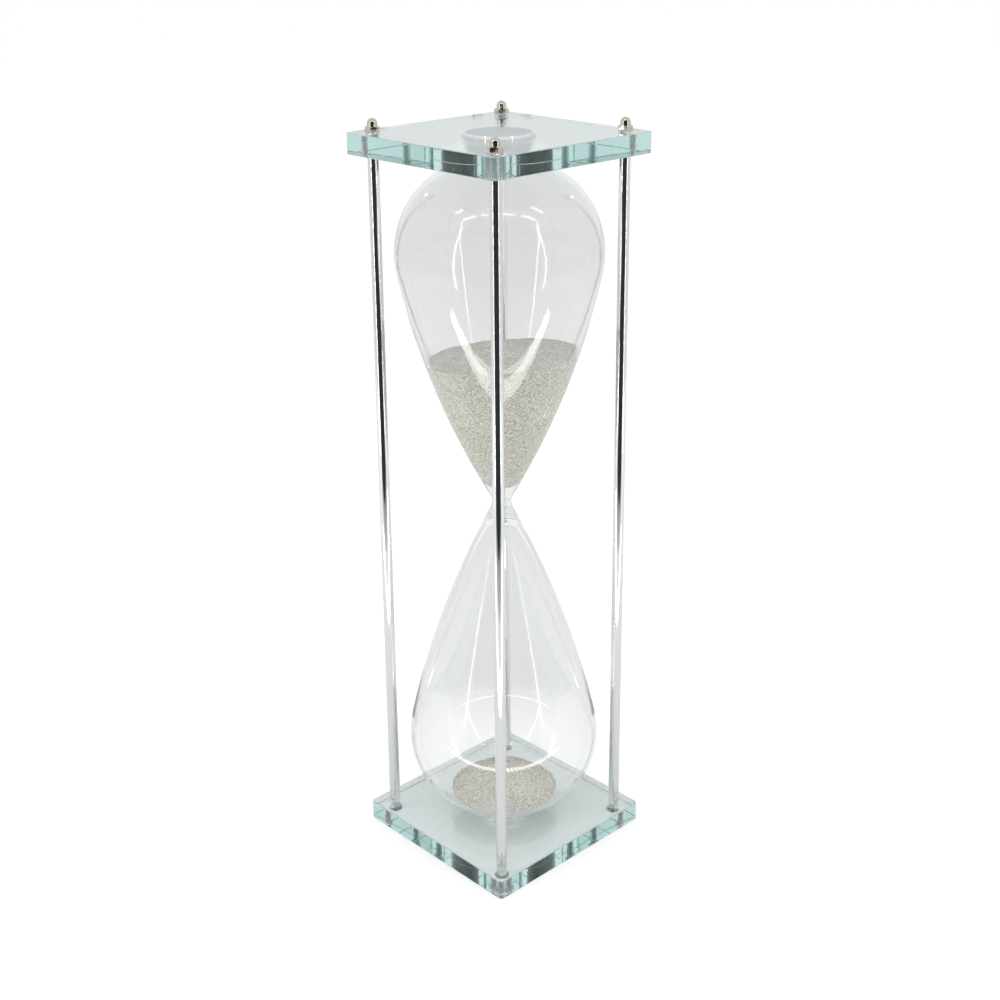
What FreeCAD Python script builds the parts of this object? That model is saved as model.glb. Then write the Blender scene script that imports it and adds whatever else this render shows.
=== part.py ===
"""Table-top hourglass: a blown glass bulb held between two square glass plates.

Four chromed rods stand at the plates' corners.  An acorn nut on each rod's upper stud clamps
the top plate, and a countersunk screw from below holds the bottom plate.  The bulb is one piece
of glass, pinched to a thick waist, and each open end is closed by a flanged stopper that seats
between the bulb's mouth and its plate.  Millimetres, +Z up, origin at the centre of the
underside of the bottom plate.
"""
import FreeCAD, Part
import math
import os

Vec = FreeCAD.Vector
UP = Vec(0, 0, 1)

# ---- driving dimensions -------------------------------------------------------------------
FRAME_HEIGHT = 400.0            # underside of the bottom plate to the top of the top plate

PLATE_SIDE = 110.0
PLATE_THICKNESS = 11.0
PLATE_CORNER_RADIUS = 2.5
PLATE_ARRIS = 0.6               # flat ground along every edge of the glass
HOLE_CLEARANCE = 0.5            # between a thread and the glass around it

ROD_DIAMETER = 6.0
ROD_INSET = 10.0                # plate's edge to the rod's axis
ROD_SHOULDER = 1.0              # how far the rod stands out past its threads
ROD_END_CHAMFER = 0.3
STUD_REACH = 4.4                # stud's length above the top plate
STUD_TIP_CHAMFER = 0.5
TAPPED_SPARE = 1.5              # bore left beyond the end of the screw

THREAD_CLEARANCE = 0.05         # between the plain cylinders that stand for mating threads

NUT_DOME_WALL = 0.7             # metal around the thread
NUT_FLANGE = 0.8                # hexagon's flat beyond the dome
NUT_HEX_HEIGHT = 3.0
NUT_NECK_HEIGHT = 1.5           # straight part of the dome
NUT_CORNER_DROP = 0.5           # height of the bevel turned on the hexagon's corners
NUT_SPARE = 0.4                 # bore left beyond the end of the stud
NUT_TURNS = (8.0, 37.0, 22.0, 51.0)   # how far each nut happens to be turned, degrees

SCREW_HEAD_OVERHANG = 1.75      # head's rim beyond the thread
SCREW_HEAD_LAND = 0.4           # straight rim of the head
SCREW_SINK = 0.3                # head below the underside of the plate
SCREW_REACH = 8.0               # thread inside the rod
SCREW_SOCKET_FLATS = 2.5
SCREW_SOCKET_DEPTH = 1.6

BULB_WALL = 1.3
WAIST_RADIUS = 5.5
WAIST_FILLET = 9.0
MOUTH_RADIUS = 16.5             # clear opening at each end
MOUTH_LIP = 1.4                 # glass around that opening
MOUTH_NECK = 1.9                # straight length of the mouth

UPPER_ROD_GAP = 6.1             # belly of the upper chamber to the rods
UPPER_SHOULDER_CUT = 5.8        # its shoulder's radius is this much less than its belly's
UPPER_CROWN_EXTRA = 20.3        # its crown's radius is this much more than its shoulder's
UPPER_FLANK_RADIUS = 425.0      # its long outer curve, from waist to belly
UPPER_HOLLOW_RADIUS = 330.0     # its long inner curve, from funnel to belly

LOWER_ROD_GAP = 7.4             # the lower chamber was blown a little slimmer
LOWER_SHOULDER_CUT = 7.7
LOWER_CROWN_EXTRA = 25.7
LOWER_FLANK_RADIUS = 560.0
LOWER_HOLLOW_RADIUS = 400.0

FUNNEL_TIP_RADIUS = 8.5
FUNNEL_TIP_HEIGHT = 10.6        # solid glass each side of the waist
ORIFICE_RADIUS = 1.3

STOPPER_FLANGE_THICKNESS = 1.6
STOPPER_FLANGE_LIP = 1.0        # flange beyond the bulb's mouth
STOPPER_BEVEL_WIDTH = 3.2       # flange's rim to the flat that bears on the plate
STOPPER_BEVEL_DROP = 1.0
STOPPER_FIT = 0.1               # body to the bulb's mouth
STOPPER_REACH = 6.5            # body inside the bulb
STOPPER_TAPER = 0.6             # body's radius lost along its reach

SAND_GAP = 0.05                 # grains to the glass
UPPER_SAND_LEVEL = 82.5         # above the waist
SAND_TILT = 5.7                 # upper surface leans, degrees
SAND_TILT_TOWARDS = 186.0       # heading of its low side, degrees from +X
CRATER_RADIUS = 15.0
CRATER_DEPTH = 2.5
LOWER_SAND_LEVEL = 10.0         # rim above the bottom plate
HEAP_RISE = 4.5
STREAM_RADIUS = 0.8              # falling thread of sand, once it has drawn thin
STREAM_DRAW = 30.0              # fall over which it draws thin

# ---- worked out from them -----------------------------------------------------------------
WAIST_Z = FRAME_HEIGHT / 2
PLATE_GAP = FRAME_HEIGHT - 2 * PLATE_THICKNESS
ROD_OFFSET = PLATE_SIDE / 2 - ROD_INSET
ROD_RADIUS = ROD_DIAMETER / 2
THREAD_RADIUS = ROD_RADIUS - ROD_SHOULDER
HOLE_RADIUS = THREAD_RADIUS + HOLE_CLEARANCE
TAPPED_RADIUS = THREAD_RADIUS + THREAD_CLEARANCE
SCREW_HEAD_RADIUS = THREAD_RADIUS + SCREW_HEAD_OVERHANG

LIP_RADIUS = MOUTH_RADIUS + MOUTH_LIP
BULB_HALF = PLATE_GAP / 2 - STOPPER_FLANGE_THICKNESS


class Half:
    """One of the bulb's two chambers, drawn upright from the waist at height 0."""

    def __init__(self, rod_gap, shoulder_cut, crown_extra, flank_radius, hollow_radius):
        self.belly_radius = math.hypot(ROD_OFFSET, ROD_OFFSET) - ROD_RADIUS - rod_gap
        self.crown_radius = self.belly_radius - shoulder_cut + crown_extra
        self.flank_radius = flank_radius
        self.hollow_radius = hollow_radius
        crown_z = BULB_HALF - MOUTH_NECK - math.sqrt(self.crown_radius ** 2 - LIP_RADIUS ** 2)
        belly_z = crown_z + math.sqrt(crown_extra ** 2 - shoulder_cut ** 2)
        self.crown = Vec(0, 0, crown_z)
        self.belly = Vec(0, 0, belly_z)
        self.shoulder = Vec(shoulder_cut, 0, belly_z)


UPPER = Half(UPPER_ROD_GAP, UPPER_SHOULDER_CUT, UPPER_CROWN_EXTRA, UPPER_FLANK_RADIUS, UPPER_HOLLOW_RADIUS)
LOWER = Half(LOWER_ROD_GAP, LOWER_SHOULDER_CUT, LOWER_CROWN_EXTRA, LOWER_FLANK_RADIUS, LOWER_HOLLOW_RADIUS)

CORNERS = (
    ("front_left", -1, -1),
    ("front_right", 1, -1),
    ("back_right", 1, 1),
    ("back_left", -1, 1),
)


# ---- small tools --------------------------------------------------------------------------
def save(shape, node):
    """Write one sub-part as its own file."""
    shape.exportStep("parts/" + node + ".step")


def cylinder(radius, z_low, z_high, x=0.0, y=0.0):
    """Upright cylinder between two heights."""
    return Part.makeCylinder(radius, z_high - z_low, Vec(x, y, z_low), UP)


def cone(radius_low, radius_high, z_low, z_high, x=0.0, y=0.0):
    """Upright truncated cone between two heights."""
    return Part.makeCone(radius_low, radius_high, z_high - z_low, Vec(x, y, z_low), UP)


def at(radius, height):
    """Point of a turned profile."""
    return Vec(radius, 0, height)


def line(start, end):
    return Part.LineSegment(start, end).toShape()


def arc(centre, start, end):
    """Circular arc about a centre, the short way round."""
    middle = (start + end) * 0.5 - centre
    middle.normalize()
    return Part.Arc(start, centre + middle * (start - centre).Length, end).toShape()


def turned(edges):
    """Solid of revolution about the Z axis from a closed run of edges."""
    face = Part.Face(Part.Wire(edges))
    return face.revolve(Vec(0, 0, 0), UP, 360)


def meeting(centre_a, reach_a, centre_b, reach_b):
    """The point at two given distances from two centres, on the side nearer the axis."""
    span = centre_b - centre_a
    gap = span.Length
    along = (reach_a ** 2 - reach_b ** 2 + gap ** 2) / (2 * gap)
    across = math.sqrt(reach_a ** 2 - along ** 2)
    unit = span * (1 / gap)
    foot = centre_a + unit * along
    sideways = Vec(-unit.z, 0, unit.x)
    choices = (foot + sideways * across, foot - sideways * across)
    return min(choices, key=lambda point: point.x)


def step_from(centre, through, reach):
    """Point at a distance from a centre, on the line towards another point."""
    heading = through - centre
    heading.normalize()
    return centre + heading * reach


def outline(*corners):
    """Straight edges from corner to corner, each corner a (radius, height) pair."""
    points = [at(radius, height) for radius, height in corners]
    return [line(start, end) for start, end in zip(points, points[1:])]


def hexagon(flats, z_low, height, turn=0.0):
    """Upright hexagonal prism with its flats a given distance apart."""
    corner = flats / math.sqrt(3)
    points = []
    for i in range(7):
        angle = math.radians(60 * i + turn)
        points.append(Vec(corner * math.cos(angle), corner * math.sin(angle), z_low))
    return Part.Face(Part.makePolygon(points)).extrude(UP * height)


# ---- glass plates -------------------------------------------------------------------------
def plate(z_low):
    """Square plate of float glass with polished edges and four drilled corners."""
    half = PLATE_SIDE / 2
    body = Part.makeBox(PLATE_SIDE, PLATE_SIDE, PLATE_THICKNESS, Vec(-half, -half, z_low))
    uprights = [edge for edge in body.Edges if edge.BoundBox.ZLength > PLATE_THICKNESS / 2]
    body = body.makeFillet(PLATE_CORNER_RADIUS, uprights)
    rims = [edge for edge in body.Edges if edge.BoundBox.ZLength < PLATE_ARRIS]
    body = body.makeChamfer(PLATE_ARRIS, rims)
    for _, sx, sy in CORNERS:
        hole = cylinder(HOLE_RADIUS, z_low, z_low + PLATE_THICKNESS, sx * ROD_OFFSET, sy * ROD_OFFSET)
        body = body.cut(hole)
    return body


def top_plate():
    return plate(FRAME_HEIGHT - PLATE_THICKNESS)


def bottom_plate():
    """The lower plate is countersunk from below for the screw heads."""
    body = plate(0)
    rim = SCREW_HEAD_RADIUS + HOLE_CLEARANCE / 2
    land = SCREW_SINK + SCREW_HEAD_LAND
    for _, sx, sy in CORNERS:
        x = sx * ROD_OFFSET
        y = sy * ROD_OFFSET
        body = body.cut(cylinder(rim, 0, land, x, y))
        body = body.cut(cone(rim, HOLE_RADIUS, land, land + rim - HOLE_RADIUS, x, y))
    return body


# ---- rods, nuts and screws ----------------------------------------------------------------
def rod(x, y):
    """Round rod with a threaded stud on top and a tapped bore below, shouldered on both plates."""
    z_low = PLATE_THICKNESS
    z_high = z_low + PLATE_GAP
    edge = ROD_END_CHAMFER
    tip = z_high + PLATE_THICKNESS + STUD_REACH
    bore_top = z_low + SCREW_REACH + TAPPED_SPARE
    body = turned(outline(
        (TAPPED_RADIUS, z_low),
        (ROD_RADIUS - edge, z_low),
        (ROD_RADIUS, z_low + edge),
        (ROD_RADIUS, z_high - edge),
        (ROD_RADIUS - edge, z_high),
        (THREAD_RADIUS, z_high),
        (THREAD_RADIUS, tip - STUD_TIP_CHAMFER),
        (THREAD_RADIUS - STUD_TIP_CHAMFER, tip),
        (0, tip),
        (0, bore_top + TAPPED_RADIUS / 2),
        (TAPPED_RADIUS, bore_top),
        (TAPPED_RADIUS, z_low),
    ))
    body.translate(Vec(x, y, 0))
    return body


def acorn_nut(x, y, turn):
    """Domed cap nut seated on the top plate."""
    dome = THREAD_RADIUS + NUT_DOME_WALL
    flats = 2 * (dome + NUT_FLANGE)
    corner = flats / math.sqrt(3)
    low = FRAME_HEIGHT
    shoulder = low + NUT_HEX_HEIGHT
    spring = shoulder + NUT_NECK_HEIGHT
    bevelled = turned(outline(
        (0, low),
        (flats / 2, low),
        (corner, low + NUT_CORNER_DROP),
        (corner, shoulder - NUT_CORNER_DROP),
        (flats / 2, shoulder),
        (0, shoulder),
        (0, low),
    ))
    body = hexagon(flats, low, NUT_HEX_HEIGHT, turn).common(bevelled)
    crest = at(0, spring + dome)
    cap = turned(
        outline((0, spring + dome), (0, low), (dome, low), (dome, spring))
        + [arc(at(0, spring), at(dome, spring), crest)]
    )
    body = body.fuse(cap)
    bore = cylinder(TAPPED_RADIUS, low, low + STUD_REACH + NUT_SPARE)
    body = body.cut(bore).removeSplitter()
    body.translate(Vec(x, y, 0))
    return body


def plate_screw(x, y):
    """Countersunk socket screw, up through the bottom plate into the rod."""
    low = SCREW_SINK
    land = low + SCREW_HEAD_LAND
    throat = land + SCREW_HEAD_OVERHANG
    tip = PLATE_THICKNESS + SCREW_REACH
    body = turned(outline(
        (0, low),
        (SCREW_HEAD_RADIUS, low),
        (SCREW_HEAD_RADIUS, land),
        (THREAD_RADIUS, throat),
        (THREAD_RADIUS, tip - STUD_TIP_CHAMFER),
        (THREAD_RADIUS - STUD_TIP_CHAMFER, tip),
        (0, tip),
        (0, low),
    ))
    body = body.cut(hexagon(SCREW_SOCKET_FLATS, low, SCREW_SOCKET_DEPTH))
    body.translate(Vec(x, y, 0))
    return body


# ---- blown bulb ---------------------------------------------------------------------------
def end_edges(half, inset, from_point, mouth_radius):
    """Belly, shoulder and crown, from a point on the belly's arc up to the mouth."""
    widest = at(half.belly_radius - inset, half.belly.z)
    turn = step_from(half.crown, half.shoulder, half.crown_radius - inset)
    rise = math.sqrt((half.crown_radius - inset) ** 2 - mouth_radius ** 2)
    mouth = at(mouth_radius, half.crown.z + rise)
    edges = [
        arc(half.belly, from_point, widest),
        arc(half.shoulder, widest, turn),
        arc(half.crown, turn, mouth),
    ]
    return edges, mouth


def outer_edges(half):
    """Edges of the outside, from the waist to the mouth."""
    waist = at(WAIST_RADIUS + WAIST_FILLET, 0)
    reach = half.flank_radius
    flank = meeting(half.belly, reach - half.belly_radius, waist, reach + WAIST_FILLET)
    leave = step_from(waist, flank, WAIST_FILLET)
    join = step_from(flank, half.belly, reach)
    edges = [
        arc(waist, at(WAIST_RADIUS, 0), leave),
        arc(flank, leave, join),
    ]
    end, mouth = end_edges(half, 0, join, LIP_RADIUS)
    return edges + end, mouth


def chamber(half, gap=0.0):
    """The space inside one half of the bulb; gap draws it in from the glass all over."""
    inset = BULB_WALL + gap
    tip = at(0, FUNNEL_TIP_HEIGHT + FUNNEL_TIP_RADIUS)
    tip_radius = FUNNEL_TIP_RADIUS - gap
    reach = half.hollow_radius - gap
    flank = meeting(half.belly, reach - half.belly_radius + inset, tip, reach - tip_radius)
    foot = at(0, FUNNEL_TIP_HEIGHT + gap)
    leave = step_from(flank, tip, reach)
    join = step_from(flank, half.belly, reach)
    end, mouth = end_edges(half, inset, join, MOUTH_RADIUS)
    edges = [arc(tip, foot, leave), arc(flank, leave, join)] + end
    edges += outline((mouth.x, mouth.z), (0, mouth.z), (foot.x, foot.z))
    body = turned(edges)
    body.translate(Vec(0, 0, WAIST_Z))
    return body


def mirrored(shape):
    """The same shape on the other side of the waist."""
    return shape.mirror(Vec(0, 0, WAIST_Z), UP)


def half_bulb(half):
    """Glass of one chamber, open at its mouth and blind at the waist."""
    edges, mouth = outer_edges(half)
    edges += outline((mouth.x, mouth.z), (mouth.x, BULB_HALF), (0, BULB_HALF), (0, 0), (WAIST_RADIUS, 0))
    glass = turned(edges)
    glass.translate(Vec(0, 0, WAIST_Z))
    space = chamber(half)
    bore = cylinder(MOUTH_RADIUS, space.BoundBox.ZMax - BULB_WALL, WAIST_Z + BULB_HALF)
    return glass.cut(space).cut(bore)


def bulb():
    """One piece of glass: two bellied chambers, a solid waist and a fine orifice."""
    glass = half_bulb(UPPER).fuse(mirrored(half_bulb(LOWER))).removeSplitter()
    reach = FUNNEL_TIP_HEIGHT + FUNNEL_TIP_RADIUS / 2
    return glass.cut(cylinder(ORIFICE_RADIUS, WAIST_Z - reach, WAIST_Z + reach))


# ---- stoppers -----------------------------------------------------------------------------
def top_stopper():
    """Flanged plug between the bulb's upper mouth and the top plate."""
    seat = WAIST_Z + PLATE_GAP / 2
    under = seat - STOPPER_FLANGE_THICKNESS
    rim = LIP_RADIUS + STOPPER_FLANGE_LIP
    body = MOUTH_RADIUS - STOPPER_FIT
    low = under - STOPPER_REACH
    return turned(outline(
        (0, low),
        (body - STOPPER_TAPER, low),
        (body, under),
        (rim, under),
        (rim, seat - STOPPER_BEVEL_DROP),
        (rim - STOPPER_BEVEL_WIDTH, seat),
        (0, seat),
        (0, low),
    ))


def bottom_stopper():
    return mirrored(top_stopper())


# ---- sand ---------------------------------------------------------------------------------
def below(level, tilt=0.0, towards=0.0):
    """Everything under a plane that crosses the axis at a level and may lean to one side."""
    size = FRAME_HEIGHT
    block = Part.makeBox(size, size, size, Vec(-size / 2, -size / 2, level - size))
    heading = math.radians(towards)
    hinge = Vec(-math.sin(heading), math.cos(heading), 0)
    block.rotate(Vec(0, 0, level), hinge, tilt)
    return block


def upper_sand():
    """Fills the upper funnel; its top leans to one side and is dished over the orifice."""
    level = Vec(0, 0, WAIST_Z + UPPER_SAND_LEVEL)
    sand = chamber(UPPER, SAND_GAP).common(below(level.z, SAND_TILT, SAND_TILT_TOWARDS))
    ball = (CRATER_RADIUS ** 2 + CRATER_DEPTH ** 2) / (2 * CRATER_DEPTH)
    lean = math.radians(SAND_TILT)
    heading = math.radians(SAND_TILT_TOWARDS)
    square = Vec(math.sin(lean) * math.cos(heading), math.sin(lean) * math.sin(heading), math.cos(lean))
    return sand.cut(Part.makeSphere(ball, level + square * (ball - CRATER_DEPTH)))


def heap_top():
    """Height of the lower heap's crest."""
    return PLATE_THICKNESS + LOWER_SAND_LEVEL + HEAP_RISE


def lower_sand():
    """Low heap in the bottom of the lower chamber, round the stopper."""
    rim_z = PLATE_THICKNESS + LOWER_SAND_LEVEL
    space = mirrored(chamber(LOWER, SAND_GAP))
    floor_face = space.common(below(rim_z))
    spread = floor_face.BoundBox.XMax
    ball = (spread ** 2 + HEAP_RISE ** 2) / (2 * HEAP_RISE)
    dome = Part.makeSphere(ball, Vec(0, 0, heap_top() - ball))
    return space.common(dome).cut(bottom_stopper())


def falling_sand():
    """Thread of sand from the funnel's tip, through the orifice, to the heap's crest."""
    full = ORIFICE_RADIUS - SAND_GAP
    top = WAIST_Z + FUNNEL_TIP_HEIGHT + FUNNEL_TIP_RADIUS / 2
    mouth = WAIST_Z - FUNNEL_TIP_HEIGHT
    thin = mouth - STREAM_DRAW
    low = heap_top() - HEAP_RISE / 2
    thread = turned(outline(
        (0, low),
        (STREAM_RADIUS, low),
        (STREAM_RADIUS, thin),
        (full, mouth),
        (full, top),
        (0, top),
        (0, low),
    ))
    return thread.cut(lower_sand()).cut(upper_sand())


# ---- the whole ----------------------------------------------------------------------------
def main():
    os.makedirs("parts", exist_ok=True)
    save(top_plate(), "top_plate")
    save(bottom_plate(), "bottom_plate")
    for (corner, sx, sy), turn in zip(CORNERS, NUT_TURNS):
        x = sx * ROD_OFFSET
        y = sy * ROD_OFFSET
        save(rod(x, y), "rod_" + corner)
        save(acorn_nut(x, y, turn), "acorn_nut_" + corner)
        save(plate_screw(x, y), "plate_screw_" + corner)
    save(bulb(), "glass_bulb")
    save(top_stopper(), "top_stopper")
    save(bottom_stopper(), "bottom_stopper")
    save(upper_sand(), "upper_sand")
    save(lower_sand(), "lower_sand")
    save(falling_sand(), "falling_sand")


main()
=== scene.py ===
"""Table-top hourglass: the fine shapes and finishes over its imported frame.

Metres, +Z up.  The origin is at the centre of the underside of the bottom plate, X and Y run along
the plates' sides, and the corner at +X, -Y is the front one.
"""
import math

import bpy
from bpy.props import FloatProperty, FloatVectorProperty, IntProperty, PointerProperty
from mathutils import Matrix, Vector


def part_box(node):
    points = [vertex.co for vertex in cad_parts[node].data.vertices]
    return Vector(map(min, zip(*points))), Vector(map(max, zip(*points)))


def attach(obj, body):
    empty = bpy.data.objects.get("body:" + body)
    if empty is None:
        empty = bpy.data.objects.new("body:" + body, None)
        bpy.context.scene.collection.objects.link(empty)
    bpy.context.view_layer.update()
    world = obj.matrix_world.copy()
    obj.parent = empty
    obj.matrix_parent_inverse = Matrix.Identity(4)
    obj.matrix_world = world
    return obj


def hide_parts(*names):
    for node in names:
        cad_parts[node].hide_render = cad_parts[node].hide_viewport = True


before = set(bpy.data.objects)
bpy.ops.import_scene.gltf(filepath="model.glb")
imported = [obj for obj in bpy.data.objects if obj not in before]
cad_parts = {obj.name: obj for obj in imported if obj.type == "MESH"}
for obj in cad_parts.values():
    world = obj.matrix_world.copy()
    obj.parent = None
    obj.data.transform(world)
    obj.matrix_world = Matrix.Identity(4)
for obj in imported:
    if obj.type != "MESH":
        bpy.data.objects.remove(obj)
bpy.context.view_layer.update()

bl_info = {
    "name": "Hourglass",
    "version": (1, 0, 0),
    "blender": (4, 5, 0),
    "location": "View3D > Sidebar > Hourglass",
    "description": "Builds a table-top hourglass: glass plates, chromed rods, blown bulb and sand",
    "category": "Add Mesh",
}

MM = 0.001
AIR = 0.02 * MM                 # film of air kept between faces that touch
CORNERS = ("front_left", "front_right", "back_right", "back_left")
SMALL_STEPS = 48                # facets round rods, screws and their holes
ROUND_STEPS = 96                # facets round stoppers, bores and poured sand
ALMOST_LEVEL = 0.99             # a face is flat on top when its normal is this steep
ALMOST_UPRIGHT = 0.1            # and a wall when it is no steeper than this
BOUNCES = 40                    # enough for light to find its way out of thick glass
FACES_OUT = 0.9                 # the boss's face, with the start of its rounded edge


# ---- what the frame gives ----
def low(node):
    """Height of a node's underside."""
    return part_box(node)[0].z


def high(node):
    """Height of a node's top."""
    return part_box(node)[1].z


def middle(node):
    """Centre of a node's box, seen from above."""
    corner_a, corner_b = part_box(node)
    centre = (corner_a + corner_b) / 2
    return centre.x, centre.y


def radius(node):
    """Half of a node's width along X."""
    corner_a, corner_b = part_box(node)
    return (corner_b.x - corner_a.x) / 2


PLATE_THICKNESS = high("bottom_plate")
WAIST_Z = (low("glass_bulb") + high("glass_bulb")) / 2
BULB_HALF = high("glass_bulb") - WAIST_Z
BELLY_RADIUS = radius("glass_bulb")
PLATE_SIDE = 2 * radius("top_plate")
ROD_RADIUS = radius("rod_front_right")
FLANGE_THICKNESS = low("top_plate") - high("glass_bulb")


# ---- sizes and colours that a user would change ----
def length(name, description, default):
    """A size, given in millimetres and kept in metres."""
    return FloatProperty(
        name=name, description=description, default=default * MM, min=0.0, unit="LENGTH")


def angle(name, description, degrees):
    """An angle, given in degrees and kept in radians."""
    return FloatProperty(
        name=name, description=description, default=math.radians(degrees), subtype="ANGLE")


def swatch(name, description, code):
    """A colour, given as an sRGB hex value."""
    return FloatVectorProperty(
        name=name, description=description, default=linear(code),
        size=3, subtype="COLOR", min=0.0, max=1.0)


def linear(code):
    """Linear RGB from an sRGB hex value such as C8D0D2."""
    values = [int(code[i:i + 2], 16) / 255 for i in (0, 2, 4)]
    return tuple(v / 12.92 if v <= 0.04045 else ((v + 0.055) / 1.055) ** 2.4 for v in values)


class PlateSettings(bpy.types.PropertyGroup):
    corner: length("Corner", "Radius of the upright corners", 2.5)
    arris: length("Arris", "Flat ground along every edge", 0.35)
    hole: length("Hole", "Radius of the drilled holes", 2.5)
    countersink: length("Countersink", "Radius of the countersinks under the bottom plate", 4.0)
    sink: length("Countersink land", "Depth of the countersink's straight rim", 0.7)
    bore: length("Bore", "Radius of the bore in the middle, for a stopper's boss", 16.4)
    tint: swatch("Tint", "Colour left in white light by 100 mm of the glass", "C4EBE8")
    tint_depth: length("Tint depth", "Glass that leaves that colour", 100)
    frost: swatch("Frost", "Colour of the pits that a grinding wheel leaves", "E4EEEC")


class RodSettings(bpy.types.PropertyGroup):
    edge: length("End bevel", "Bevel on the rod's shoulders", 0.3)
    thread_radius: length("Thread radius", "Outside radius of the stud", 2.0)
    pitch: length("Thread pitch", "Rise of one turn of the thread", 0.7)
    bore_depth: length("Bore depth", "Tapped bore in the lower end", 9.5)
    colour: swatch("Chrome", "Colour of the plating", "E8E8E8")


class NutSettings(bpy.types.PropertyGroup):
    flats: length("Across flats", "Width of the hexagon", 7.0)
    hexagon_height: length("Hexagon height", "Height of the hexagonal foot", 3.0)
    dome_radius: length("Dome radius", "Radius of the domed cap", 2.7)
    corner_drop: length("Corner bevel", "Height of the bevel turned on the hexagon's corners", 0.5)
    softness: length("Edge softness", "Rounding left by the plating on every edge", 0.12)
    colour: swatch("Nickel", "Colour of the plating", "D3CCC0")


class ScrewSettings(bpy.types.PropertyGroup):
    head_radius: length("Head radius", "Radius of the countersunk head", 3.75)
    head_land: length("Head land", "Straight rim of the head", 0.4)
    socket: length("Socket", "Width of the hexagon socket across its flats", 2.5)
    socket_depth: length("Socket depth", "Depth of the hexagon socket", 1.6)
    colour: swatch("Steel", "Colour of the bare steel", "9A9B9C")


class BulbSettings(bpy.types.PropertyGroup):
    wall: length("Wall", "Thickness of the blown glass", 1.3)
    waist: length("Waist", "Radius of the glass at the waist", 5.5)
    waist_fillet: length("Waist fillet", "Radius of the hollow curve at the waist", 9.0)
    mouth: length("Mouth", "Clear radius at each end", 16.5)
    lip: length("Lip", "Glass around the mouth", 1.4)
    neck: length("Neck", "Straight length of the mouth", 1.9)
    tip: length("Funnel tip", "Radius at the funnel's tip", 8.5)
    tip_height: length("Tip height", "Solid glass each side of the waist", 10.6)
    orifice: length("Orifice", "Radius of the hole through the waist", 1.3)
    upper_cut: length("Upper shoulder cut", "Upper belly's radius less the shoulder's", 5.8)
    upper_crown: length("Upper crown extra", "Upper crown's radius less the shoulder's", 20.3)
    upper_flank: length("Upper flank", "Radius of the upper outer curve", 425)
    upper_hollow: length("Upper hollow", "Radius of the upper inner curve", 330)
    slimmer: length("Slimmer", "Upper belly's radius less the lower's", 1.3)
    lower_cut: length("Lower shoulder cut", "Lower belly's radius less the shoulder's", 7.7)
    lower_crown: length("Lower crown extra", "Lower crown's radius less the shoulder's", 25.7)
    lower_flank: length("Lower flank", "Radius of the lower outer curve", 560)
    lower_hollow: length("Lower hollow", "Radius of the lower inner curve", 400)
    steps: IntProperty(name="Steps", description="Facets round the bulb", default=144, min=24)


class StopperSettings(bpy.types.PropertyGroup):
    contact: length("Contact", "How far the soft moulding is squeezed against glass", 0.01)
    taper: length("Taper", "Radius lost along the body", 0.1)
    bevel_width: length("Bevel width", "Rim to the flat that bears on the plate", 2.0)
    bevel_drop: length("Bevel drop", "Fall of that bevel", 0.3)
    edge: length("Edge", "Rounding of the moulded edges", 0.3)
    gap: length("Gap", "Boss to the bore in the plate", 0.2)
    short: length("Short", "Face of the boss below the face of the plate", 0.15)
    colour: swatch("Silicone", "Colour of the moulding", "626C6F")
    face: swatch("Face", "Colour of the boss's matt face", "C0C8CA")
    # band: painted dark reflection and shade on the boss's sides in the bore, not a sealing band
    band: swatch("Band", "Colour of the sealing band round the boss", "10181A")


class SandSettings(bpy.types.PropertyGroup):
    contact: length("Contact", "Depth to which the outer grains meet the glass", 0.01)
    grain: length("Grain", "Width of one grain", 0.5)
    ripple: length("Ripple", "Height of the unevenness of a poured surface", 0.5)
    tilt: angle("Tilt", "Lean of the upper surface", 5.7)
    towards: angle("Towards", "Heading of its low side, from +X", 186)
    level: length("Upper level", "Upper surface above the waist", 82.5)
    crater_radius: length("Crater radius", "Dish over the orifice", 15)
    crater_depth: length("Crater depth", "Depth of that dish", 2.5)
    lower_level: length("Lower level", "Rim of the heap above the bottom plate", 10)
    heap_rise: length("Heap rise", "Rise of the lower heap above its rim", 4.5)
    stream: length("Stream", "Radius of the falling thread", 0.8)
    stream_draw: length("Stream draw", "Fall over which the thread draws thin", 30)
    pale: swatch("Pale grains", "Washed quartz", "FBFAF0")
    dark: swatch("Dark grains", "Grey and brown grains", "A5A296")


class StudioSettings(bpy.types.PropertyGroup):
    heading: angle("Heading", "Camera's compass, clockwise from -Y", 46.522)
    aside: angle("Aside", "Where the camera stands, clockwise from -Y", 46.488)
    away: length("Away", "Camera to the object's axis, level", 773.2)
    above: length("Above", "Camera above the table", 516.95)
    tilt: angle("Tilt", "Camera looks down by this much", 18.563)
    roll: angle("Roll", "Camera turned about its view", -0.4876)
    lens: FloatProperty(name="Lens", description="Focal length in millimetres", default=55.15)
    rise: FloatProperty(name="Rise", description="Shift of the lens", default=-0.0993)
    paper: swatch("Paper", "Floor and tent", "E8EAEA")
    # painted shade: the dark room's colour, shown by glowing cards in mirrors and glass
    room_shade: swatch("Velvet", "Dark room beyond the tent's open front", "34373A")
    table: swatch("Table", "The table where it leaves the dark", "C9CDCE")


GROUPS = {
    "plates": PlateSettings,
    "rods": RodSettings,
    "nuts": NutSettings,
    "screws": ScrewSettings,
    "bulb": BulbSettings,
    "stoppers": StopperSettings,
    "sand": SandSettings,
    "studio": StudioSettings,
}


def settings(group):
    """The user's values for one group of pieces."""
    return getattr(bpy.context.scene, "hourglass_" + group)


# ---- modelling tools ----
def edit():
    bpy.ops.object.mode_set(mode="EDIT")


def leave():
    bpy.ops.object.mode_set(mode="OBJECT")


def only(obj):
    """Select one object alone and make it the active one."""
    bpy.ops.object.select_all(action="DESELECT")
    obj.select_set(True)
    bpy.context.view_layer.objects.active = obj


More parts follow.
